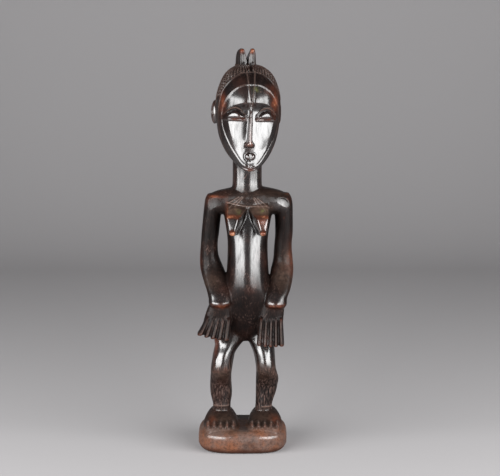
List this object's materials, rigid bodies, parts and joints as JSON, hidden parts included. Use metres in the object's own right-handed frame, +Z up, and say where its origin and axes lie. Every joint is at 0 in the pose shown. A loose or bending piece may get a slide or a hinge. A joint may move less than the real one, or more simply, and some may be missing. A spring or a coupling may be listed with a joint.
{
  "type": "carved standing figure",
  "caption": "Standing female figure carved with its rounded plinth from one block of dark wood, hands on the thighs, long neck, crested head and mask-like face.",
  "frame": {"origin": "centre of the plinth's flat underside", "axes": "+Z up along the figure, which faces -Y; +X is to the viewer's right when looking at its face"},
  "size_m": [0.1001, 0.0882, 0.4196],
  "materials": {
    "dark_wood": "glossy black-brown patina, worn to red-brown on the edges and to a duller brown on the plinth"
  },
  "bodies": {
    "root": {"spirit_figure": "dark_wood"}
  },
  "joints": []
}
